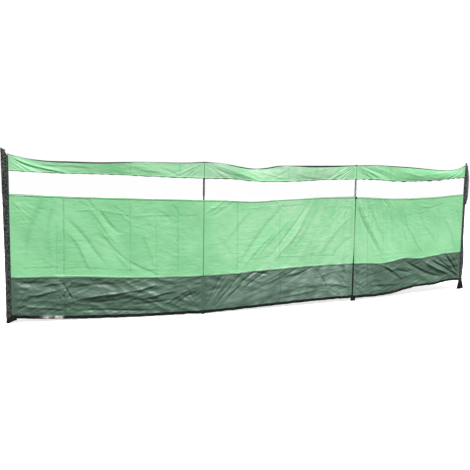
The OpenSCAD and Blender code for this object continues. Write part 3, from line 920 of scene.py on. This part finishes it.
def stitch_rows(b):
    """Running stitches along the seams of a bay, drawn coarser than real thread."""
    # Height of each row up the cloth, and what it lies on there, in millimetres proud
    rows = {"pale": [(BAND_TOP - ROW_NEAR, 0),
                     (WINDOW_TOP + ROW_NEAR, 0.8), (WINDOW_TOP + ROW_FAR, 0.8),
                     (WINDOW_FOOT - ROW_NEAR, 0.8), (WINDOW_FOOT - ROW_FAR, 0.8),
                     (SKIRT_TOP + ROW_ALONE, 0)],
            "dark": [(SKIRT_TOP - ROW_NEAR, 0.8), (SKIRT_TOP - ROW_FAR, 0.8),
                     (HEM_H + ROW_ALONE, 0), (HEM_H - ROW_ALONE, 1.0)]}
    pieces = []
    for tone, material, slot in (("pale", PALE_THREAD, "light_green_cloth"),
                                 ("dark", DARK_THREAD, "dark_green_cloth")):
        bm = bmesh.new()
        start, end = cloth_span(b)
        along = np.arange(start + STITCH_PITCH, end - STITCH_PITCH, STITCH_PITCH)
        for h, proud in rows[tone]:
            height = np.full_like(along, h)
            lift = (proud + THREAD_LIFT) * MM
            first = cloth_at(b, along - STITCH_LENGTH / 2, height, lift)
            last = cloth_at(b, along + STITCH_LENGTH / 2, height, lift)
            for p, q in zip(first, last):
                p, q = Vector(p), Vector(q)
                turn = (q - p).to_track_quat("X", "Z").to_matrix().to_4x4()
                size = Matrix.Diagonal((STITCH_LENGTH, THREAD_D, THREAD_D, 1))
                bmesh.ops.create_cube(bm, size=1,
                                      matrix=Matrix.Translation((p + q) / 2) @ turn @ size)
        mesh = bpy.data.meshes.new(f"{tone}_stitching_{b + 1}")
        bm.to_mesh(mesh)
        bm.free()
        pieces.append(finished(mesh.name, mesh, material, slot))
    return pieces


# ---------------------------------------------------------------- at the poles
def around_pole(i, s, forward, h):
    """Points near pole i, s along the sheet from the pole's axis: each side follows its
    own bay, and the turn between the two bays is spread over the pole's width."""
    before, after = max(i - 1, 0), min(i, BAY_COUNT - 1)
    share = eased(s, -POLE_R, POLE_R)
    axes = [[np.array(v) for v in bay_axes(b)] for b in (before, after)]
    along = np.outer(1 - share, axes[0][0]) + np.outer(share, axes[1][0])
    front = np.outer(1 - share, axes[0][1]) + np.outer(share, axes[1][1])
    places = np.array(POLES[i]) + along * s[:, None] + front * forward[:, None]
    on_after = s >= 0 if 0 < i < BAY_COUNT else np.full(len(s), i == 0)
    s_after, s_before = np.clip(s, 0, BAY_W), np.clip(BAY_W + s, 0, BAY_W)
    drop = np.where(on_after, drop_at(after, s_after, h), drop_at(before, s_before, h))
    lift = np.where(on_after, LIFTS[after] * (1 - s_after / BAY_W)
                    + LIFTS[min(after + 1, BAY_COUNT)] * s_after / BAY_W,
                    LIFTS[before] * (1 - s_before / BAY_W)
                    + LIFTS[before + 1] * s_before / BAY_W)
    places[:, 2] = lift + h - drop
    return places


def spot_at_pole(i, s, forward, h):
    return around_pole(i, np.array([s]), np.array([forward]), np.array([h]))[0]


def forward_by_pole(i, s, h):
    """How far the cloth stands forward near pole i, s along the sheet from its axis."""
    after = forward_at(min(i, BAY_COUNT - 1), np.clip(s, 0, BAY_W), h)
    before = forward_at(max(i - 1, 0), np.clip(BAY_W + s, 0, BAY_W), h)
    return np.where(s >= 0, after, before)


def outline_walk(points, a):
    """Places and outward directions at parts a, from 0 to 1, of the way along an outline."""
    line = np.array(points, float)
    length = np.concatenate([[0], np.cumsum(np.hypot(*np.diff(line, axis=0).T))])
    at = a * length[-1]
    step = 1.5 * MM
    x, y = (np.interp(at, length, line[:, k]) for k in (0, 1))
    ahead = [np.interp(at + step, length, line[:, k]) for k in (0, 1)]
    behind = [np.interp(at - step, length, line[:, k]) for k in (0, 1)]
    dx, dy = ahead[0] - behind[0], ahead[1] - behind[1]
    size = np.hypot(dx, dy)
    return x, y, dy / size, -dx / size, length[-1]


def arc(radius, first, last, count):
    """Points on an arc round the pole's axis; 90 degrees is the front."""
    angles = np.radians(np.linspace(first, last, count))
    return [(radius * math.cos(a), radius * math.sin(a)) for a in angles]


def end_sleeve(name, node, i, side, bulge, bulge_at, flap, pale_sheen, peak):
    """Black sleeve folded round an end pole, its two layers sewn together as a flap.
    bulge gives how far the slack cloth stands off the pole and flap how far the flap
    reaches inboard, as (metres up, millimetres); bulge_at is where round the pole.
    The argument after flap gives how far painted sheen pales its outer side, as (metres up,
    0 to 1), and peak how far the outer side of its top is pulled up, in metres."""
    gap = 1.0 * MM
    outline = ([(SLEEVE_IN, CLOTH_FRONT + gap), (FLAP_START, CLOTH_FRONT + gap)]
               + arc(CLOTH_FRONT + gap, 80, 300, 24)
               + [(0.012, -0.004), (0.018, 0.003), (0.024, CLOTH_FRONT - gap - 0.001),
                  (SLEEVE_IN, CLOTH_FRONT - gap)])

    def place(a, c):
        walk = a if side > 0 else 1 - a
        s, forward, out_s, out_forward, _ = outline_walk(outline, walk)
        h = c * SHEET_H
        reach = smooth_curve(flap, h) * MM - SLEEVE_IN
        s = s + reach * eased(s, FLAP_START, SLEEVE_IN)
        pucker = (1.6 * ridged(walk * 6, h * 26, 71 + i) + 1.2 * ridged(walk * 4, h * 60, 75 + i)
                  + 1.4 * grain(walk * 3, h * 9, 73 + i)) * MM
        round_pole = np.exp(-((walk - 0.52) / 0.2) ** 2)
        sewn = eased(np.abs(s - FLAP_SEAM), 0, 0.006)
        slack = (np.maximum(smooth_curve(bulge, h), 0) * MM
                 * np.exp(-((walk - bulge_at) / 0.14) ** 2))
        out = np.abs(pucker) * (0.35 + 0.65 * round_pole) * sewn + slack
        s, forward = s + out * out_s, forward + out * out_forward
        top_slope = 16 * MM * eased(s, -0.005, 0.03) * eased(h, SHEET_H - 0.05, SHEET_H)
        pulled = np.exp(-((walk - 0.48) / 0.14) ** 2)
        top_slope -= peak * pulled * eased(h, SHEET_H - 0.07, SHEET_H)
        return around_pole(i, side * s, forward, h - top_slope)

    # painted sheen on the sleeve's outer side, strongest over its slack bulge
    def sheened(a, c):
        walk = a if side > 0 else 1 - a
        patchy = 0.8 + 0.6 * grain(walk * 9, c * 40, 77 + i)
        mottle = smooth_curve(pale_sheen, c * SHEET_H) * patchy
        return np.clip(mottle, 0, 1) * np.exp(-((walk - bulge_at - 0.02) / 0.13) ** 2)

    length = outline_walk(outline, np.array([0.0]))[4]
    mesh = grid_mesh(name, 48, round(SHEET_H / (7 * MM)), place,
                     lambda a, c: np.stack([a * length, c * SHEET_H], axis=1), {"painted_sheen": sheened})
    piece = thicken(finished(name, mesh, BLACK_CLOTH, "black_cloth"), SLEEVE_T)
    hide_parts(node)


def mid_sleeve(name, node, i, foot, head, material, slot):
    """Channel behind the sheet round a middle pole, sewn on by a flange on each side."""
    gap = 1.2 * MM
    reach = POLE_R + 14 * MM
    outline = ([(-reach, CLOTH_FRONT - gap), (-0.013, CLOTH_FRONT - gap - 0.0004)]
               + arc(POLE_R + 1.4 * MM, 165, 375, 22)
               + [(0.013, CLOTH_FRONT - gap - 0.0004), (reach, CLOTH_FRONT - gap)])

    def place(a, c):
        s, forward, out_s, out_forward, _ = outline_walk(outline, 1 - a)
        h = foot + c * (head - foot)
        pucker = (1.3 * ridged(a * 4, h * 30, 81 + i) + 1.0 * grain(a * 3, h * 12, 83 + i)) * MM
        out = np.abs(pucker) * np.exp(-((a - 0.5) / 0.22) ** 2)
        sewn = forward_by_pole(i, s, h) * eased(np.abs(s), 0.0095, 0.014)
        return around_pole(i, s + out * out_s, forward + out * out_forward + sewn, h)

    length = outline_walk(outline, np.array([0.0]))[4]
    mesh = grid_mesh(name, 40, round((head - foot) / (8 * MM)), place,
                     lambda a, c: np.stack([a * length, foot + c * (head - foot)], axis=1))
    piece = thicken(finished(name, mesh, material, slot), CLOTH_T)
    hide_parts(node)


def seam_tape(name, i, foot, head, widths, proud, material, slot):
    """A narrow tape down the front of the seam at a middle pole, dark as painted shade of the
    pleat there; widths are (metres up the cloth, millimetres wide)."""
    def place(a, c):
        h = foot + c * (head - foot)
        width = smooth_curve(widths, h) * MM * (1 + 0.25 * grain(h * 40, h * 0, 91 + i))
        sway = 1.2 * MM * grain(h * 14, h * 0, 93 + i)
        crown = 1.2 * MM * (1 - (2 * a - 1) ** 2)
        return around_pole(i, (a - 0.5) * width + sway, CLOTH_FRONT + proud + crown, h)

    mesh = grid_mesh(name, 4, round((head - foot) / (6 * MM)), place,
                     lambda a, c: np.stack([a * 10 * MM, c * (head - foot)], axis=1))
    return thicken(finished(name, mesh, material, slot), 1.0 * MM)


def foot_tab(i, middle, top_w, foot_w, turn=0.0, slant=0.0):
    """Folded loop of webbing that hangs from the hem to the ground. turn twists its foot
    round, in degrees, and slant lifts its foot's right end."""
    head = LIFTS[i] + 5 * MM
    bay = min(i, BAY_COUNT - 1)
    axes = [np.array(v) for v in bay_axes(bay)]

    def place(a, c):
        width = foot_w + c * (top_w - foot_w)
        angle = math.radians(turn) * (1 - c)
        across = (a - 0.5) * width * np.cos(angle)
        ahead = (a - 0.5) * width * np.sin(angle)
        curl = (3 * MM * np.cos(2.5 * (a - 0.5)) * (1 - c)
                + 1.2 * MM * grain(a * 3, c * 4, 95 + i))
        level = around_pole(i, np.full_like(a, middle),
                            np.full_like(a, CLOTH_FRONT + 1.6 * MM), a * 0)
        places = level + np.outer(across, axes[0]) + np.outer(curl + ahead, axes[1])
        foot = TAB_GAP + slant * eased(a, 0.1, 1.0)
        places[:, 2] = foot + c * (head - foot)
        return places

    name = f"tab_loop_{i + 1}"
    mesh = grid_mesh(name, 12, 8, place,
                     lambda a, c: np.stack([a * foot_w, c * head], axis=1))
    piece = thicken(finished(name, mesh, BLACK_TAPE, "black_webbing"), 2.2 * MM)
    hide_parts(f"foot_tab_{i + 1}")


def knot(name, at, size, material, slot):
    """A pulled-tight knot of tape: a lump with its turns showing as ridges."""
    bm = bmesh.new()
    bmesh.ops.create_icosphere(bm, subdivisions=4, radius=1)
    layer = bm.loops.layers.uv.new("UVMap")
    for v in bm.verts:
        turns = 0.12 * math.sin(9 * math.atan2(v.co.z, v.co.x) + 5 * v.co.y)
        v.co = Vector(at) + (1 + turns) * Vector([v.co[k] * size[k] for k in range(3)])
    for face in bm.faces:
        face.smooth = True
        for loop in face.loops:
            loop[layer].uv = (loop.vert.co.x, loop.vert.co.z)
    mesh = bpy.data.meshes.new(name)
    bm.to_mesh(mesh)
    bm.free()
    return finished(name, mesh, material, slot)


for b in range(BAY_COUNT):
    sew_strips(b)

end_sleeve("sleeve_left", "end_sleeve_left", 0, 1,
           [(0, 0), (0.6, 4), (1.0, 9), (1.25, 12)], 0.46,
           [(0, 28), (0.6, 28), (1.25, 29)], [(0, 0.05), (0.6, 0.05), (1.25, 0.1)], 30 * MM)
end_sleeve("sleeve_right", "end_sleeve_right", BAY_COUNT, -1,
           [(0, 3), (0.06, 7), (0.2, 14), (0.3, 11), (0.42, 2), (0.82, 1), (0.86, 13),
            (1.0, 23), (1.13, 20), (1.2, 10), (1.25, 3)], 0.36,
           [(0, 30), (0.6, 30), (1.1, 29), (1.19, 26), (1.25, 24)],
           [(0, 0.15), (0.2, 0.35), (0.3, 0.25), (0.4, 0), (0.8, 0), (0.92, 0.55),
            (1.12, 0.65), (1.2, 0.2), (1.25, 0)], 0)
for i in (1, 2):
    mid_sleeve(f"band_channel_{i + 1}", f"band_sleeve_{i + 1}", i, WINDOW_TOP, SHEET_H,
               LIGHT_CLOTH, "light_green_cloth")
    mid_sleeve(f"panel_channel_{i + 1}", f"panel_sleeve_{i + 1}", i, SKIRT_TOP, WINDOW_FOOT,
               LIGHT_CLOTH, "light_green_cloth")
    mid_sleeve(f"skirt_channel_{i + 1}", f"skirt_sleeve_{i + 1}", i, 0, SKIRT_TOP,
               DARK_CLOTH, "dark_green_cloth")
    # dark strip down each band seam: painted shade of the pleat
    seam_tape(f"band_seam_shade_{i + 1}", i, WINDOW_TOP, SHEET_H, [(1.1, 3), (1.25, 3)], 0,
              SEAM_SHADE_THREAD, "light_green_cloth")
# dark strips down the seams at poles 2 and 3: painted shade of the pleats
seam_tape("panel_seam_shade_2", 1, 0, WINDOW_FOOT, [(0, 4), (0.5, 3.5), (0.95, 3.5)], 0,
          SEAM_SHADE_THREAD, "dark_green_cloth")
seam_tape("pleat_shade_tape_3", 2, 0, WINDOW_FOOT, [(0, 15), (0.3, 13), (0.36, 8), (0.95, 7)], 1 * MM,
          BLACK_TAPE, "black_webbing")
knot("tie_knot_3", in_bay(2, np.array([0.0]), np.array([CLOTH_FRONT + 4 * MM]),
                          np.array([LIFTS[2] + WINDOW_FOOT + 6 * MM]))[0],
     (9 * MM, 5 * MM, 11 * MM), BLACK_TAPE, "black_webbing")
knot("sleeve_tie_4", spot_at_pole(BAY_COUNT, 0.022, 0.004, 0.845),
     (12 * MM, 9 * MM, 9 * MM), BLACK_TAPE, "black_webbing")
knot("tab_tie_4", spot_at_pole(BAY_COUNT, 0.0, CLOTH_FRONT + 7 * MM, 0.02),
     (13 * MM, 7 * MM, 8 * MM), BLACK_TAPE, "black_webbing")
foot_tab(0, 26 * MM, 66 * MM, 76 * MM, slant=20 * MM)
foot_tab(1, 0, 30 * MM, 34 * MM)
foot_tab(2, 13 * MM, 40 * MM, 50 * MM)
foot_tab(3, -8 * MM, 54 * MM, 68 * MM, turn=35, slant=9 * MM)

for name, node in frame["nodes"].items():
    if name.startswith("pole_"):
        # pole 2 takes the darker copy of the steel: painted shade
        metal = SHADED_STEEL if name == "pole_2" else STEEL
        node.data.materials.clear()
        node.data.materials.append(PLASTIC if "foot" in name or "cap" in name else metal)

# ---------------------------------------------------------------- camera, light and floor
CAMERA_AT = Vector((0.214, -4.090, 1.039))
CAMERA_TURN = math.radians(-21.70)
CAMERA_DIP = math.radians(5.22)
CAMERA_ROLL = math.radians(0.92)
LENS = 38.3
WORLD_FOOT = 0.1            # strength of the light from level and below
WORLD_TOP = 1.1             # and from overhead


def make_camera():
    data = bpy.data.cameras.new("camera")
    data.lens = LENS
    data.sensor_width = 36
    camera = bpy.data.objects.new("camera", data)
    bpy.context.scene.collection.objects.link(camera)
    turn = Matrix.Rotation(CAMERA_TURN, 4, "Z")
    dip = Matrix.Rotation(math.pi / 2 - CAMERA_DIP, 4, "X")
    roll = Matrix.Rotation(CAMERA_ROLL, 4, "Z")
    camera.matrix_world = Matrix.Translation(CAMERA_AT) @ turn @ dip @ roll
    bpy.context.scene.camera = camera


def make_sun(name, elevation, heading, softness, strength):
    """Soft light from far away; heading 0 shines from the front and 90 from the right."""
    data = bpy.data.lights.new(name, "SUN")
    data.angle = math.radians(softness)
    data.energy = strength
    light = bpy.data.objects.new(name, data)
    bpy.context.scene.collection.objects.link(light)
    light.rotation_euler = (math.radians(90 - elevation), 0, math.radians(heading))


def make_floor():
    """Pale floor. It doesn't throw light back, so that folds keep their dark undersides."""
    bm = bmesh.new()
    bmesh.ops.create_grid(bm, x_segments=1, y_segments=1, size=60)
    mesh = bpy.data.meshes.new("floor")
    bm.to_mesh(mesh)
    bm.free()
    floor = bpy.data.objects.new("floor", mesh)
    bpy.context.scene.collection.objects.link(floor)
    paint, tree, shader = new_material("floor_paint_white")
    shader.inputs["Base Color"].default_value = linear("#FAFAFA")
    shader.inputs["Roughness"].default_value = 0.9
    shader.inputs["Emission Color"].default_value = (1, 1, 1, 1)
    shader.inputs["Emission Strength"].default_value = 0.25
    mesh.materials.append(paint)
    floor.visible_diffuse = False
    floor.visible_glossy = False


def make_world():
    """Light that falls mostly from above, before a plain white backdrop."""
    world = bpy.data.worlds.new("studio")
    world.use_nodes = True
    tree = world.node_tree
    sky = tree.nodes["Background"]
    way = add(tree, "ShaderNodeTexCoord").outputs["Generated"]
    height = add(tree, "ShaderNodeSeparateXYZ", links={"Vector": way}).outputs["Z"]
    dome = add(tree, "ShaderNodeMapRange",
               {"From Min": -0.5, "From Max": 0.9, "To Min": WORLD_FOOT, "To Max": WORLD_TOP},
               {"Value": height})
    path = add(tree, "ShaderNodeLightPath")
    seen = add(tree, "ShaderNodeMath", {"operation": "MAXIMUM"},
               {0: path.outputs["Is Camera Ray"], 1: path.outputs["Is Transmission Ray"]})
    strength = add(tree, "ShaderNodeMix", {"data_type": "FLOAT", 3: 1.0},
                   {0: seen.outputs[0], 2: dome.outputs["Result"]})
    sky.inputs["Color"].default_value = (1, 1, 1, 1)
    tree.links.new(strength.outputs[0], sky.inputs["Strength"])
    bpy.context.scene.world = world


make_camera()
make_floor()
make_world()
make_sun("key", elevation=57, heading=18, softness=12, strength=3.1)
bpy.context.scene.view_settings.view_transform = "Standard"
